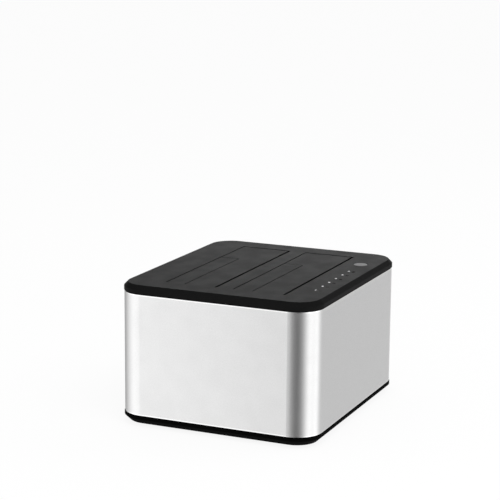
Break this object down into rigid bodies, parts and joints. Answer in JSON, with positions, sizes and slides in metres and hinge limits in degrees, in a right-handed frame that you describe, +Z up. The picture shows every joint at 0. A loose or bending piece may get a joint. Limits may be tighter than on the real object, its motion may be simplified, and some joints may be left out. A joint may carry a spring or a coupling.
{
  "type": "hard drive docking station",
  "caption": "Two-bay drive dock: satin aluminium sleeve between black covers, sprung L-shaped and narrow flaps over upright bays, indicator row, round button, rear ports.",
  "frame": {"origin": "centre of the footprint, on the table under the rubber feet", "axes": "+X along the bays, +Y to the rear with the ports, +Z up"},
  "size_m": [0.139, 0.119, 0.0813],
  "materials": {
    "anodised_aluminium": "bead blasted and clear anodised, satin",
    "black_cover": "fine matte texture",
    "black_panel": "fine matte texture",
    "black_moulding": "smooth matte",
    "white_moulding": "smooth",
    "foot_rubber": "matte",
    "circuit_board": "green solder mask",
    "chip_black": "matte epoxy",
    "capacitor_can": "shrink sleeve on an aluminium can",
    "plated_steel": "tin plated",
    "gold_contact": "gold plated",
    "spring_steel": "blackened wire",
    "screw_steel": "zinc plated",
    "lamp": "clear epoxy",
    "clear_moulding": "clear polished plastic",
    "grey_button": "satin",
    "lead_sheath": "smooth"
  },
  "bodies": {
    "case": {"aluminium_sleeve": "anodised_aluminium", "top_cover": "black_cover", "base_plate": "black_cover", "rubber_feet": "foot_rubber", "main_board": "circuit_board", "indicator_board": "circuit_board", "port_panel": "black_panel", "usb_socket_shell": "plated_steel", "usb_socket_housing": "white_moulding", "usb_contacts": "gold_contact", "dc_jack_body": "black_moulding", "dc_jack_pin": "plated_steel", "power_switch_body": "black_moulding", "board_chips": "chip_black", "board_inductors": "chip_black", "board_crystal": "plated_steel", "board_capacitors": "capacitor_can", "indicator_lamps": "lamp", "light_pipes": "clear_moulding", "clone_switch": "black_moulding", "lead_headers": "white_moulding", "ribbon_lead": "lead_sheath", "case_screws": "screw_steel", "board_screws": "screw_steel", "well_screws": "screw_steel", "indicator_board_screws": "screw_steel", "front_bay_well": "black_moulding", "front_sata_socket": "black_moulding", "front_sata_contacts": "gold_contact", "front_main_flap_pin": "spring_steel", "front_main_flap_spring": "spring_steel", "front_small_flap_pin": "spring_steel", "front_small_flap_spring": "spring_steel", "rear_bay_well": "black_moulding", "rear_sata_socket": "black_moulding", "rear_sata_contacts": "gold_contact", "rear_main_flap_pin": "spring_steel", "rear_main_flap_spring": "spring_steel", "rear_small_flap_pin": "spring_steel", "rear_small_flap_spring": "spring_steel"},
    "front_main_flap": {"front_main_flap": "black_cover"},
    "front_small_flap": {"front_small_flap": "black_cover"},
    "rear_main_flap": {"rear_main_flap": "black_cover"},
    "rear_small_flap": {"rear_small_flap": "black_cover"},
    "clone_button": {"clone_button": "grey_button", "tact_plunger": "white_moulding"},
    "power_rocker": {"power_rocker": "black_moulding"}
  },
  "joints": [
    {"name": "front_main_flap_hinge", "type": "hinge", "parent": "case", "child": "front_main_flap", "pos_m": [0, -0.0381, 0.0776], "axis": [-1, 0, 0], "range_deg": [0, 90], "stiffness_Nm_per_rad": 0.004, "springref_deg": -45.84, "deforming": ["front_main_flap_spring"]},
    {"name": "front_small_flap_hinge", "type": "hinge", "parent": "case", "child": "front_small_flap", "pos_m": [0, -0.0037, 0.0776], "axis": [1, 0, 0], "range_deg": [0, 90], "stiffness_Nm_per_rad": 0.002, "springref_deg": -45.84, "deforming": ["front_small_flap_spring"]},
    {"name": "rear_main_flap_hinge", "type": "hinge", "parent": "case", "child": "rear_main_flap", "pos_m": [0, 0.0027, 0.0776], "axis": [-1, 0, 0], "range_deg": [0, 90], "stiffness_Nm_per_rad": 0.004, "springref_deg": -45.84, "deforming": ["rear_main_flap_spring"]},
    {"name": "rear_small_flap_hinge", "type": "hinge", "parent": "case", "child": "rear_small_flap", "pos_m": [0, 0.0371, 0.0776], "axis": [1, 0, 0], "range_deg": [0, 90], "stiffness_Nm_per_rad": 0.002, "springref_deg": -45.84, "deforming": ["rear_small_flap_spring"]},
    {"name": "clone_button_press", "type": "slide", "parent": "case", "child": "clone_button", "axis": [0, 0, -1], "range_m": [0, 0.0005], "stiffness_N_per_m": 200, "springref_m": -0.002},
    {"name": "power_rocker_pivot", "type": "hinge", "parent": "case", "child": "power_rocker", "pos_m": [-0.028, 0.0545, 0.0334], "axis": [0, 0, 1], "range_deg": [0, 20]}
  ]
}
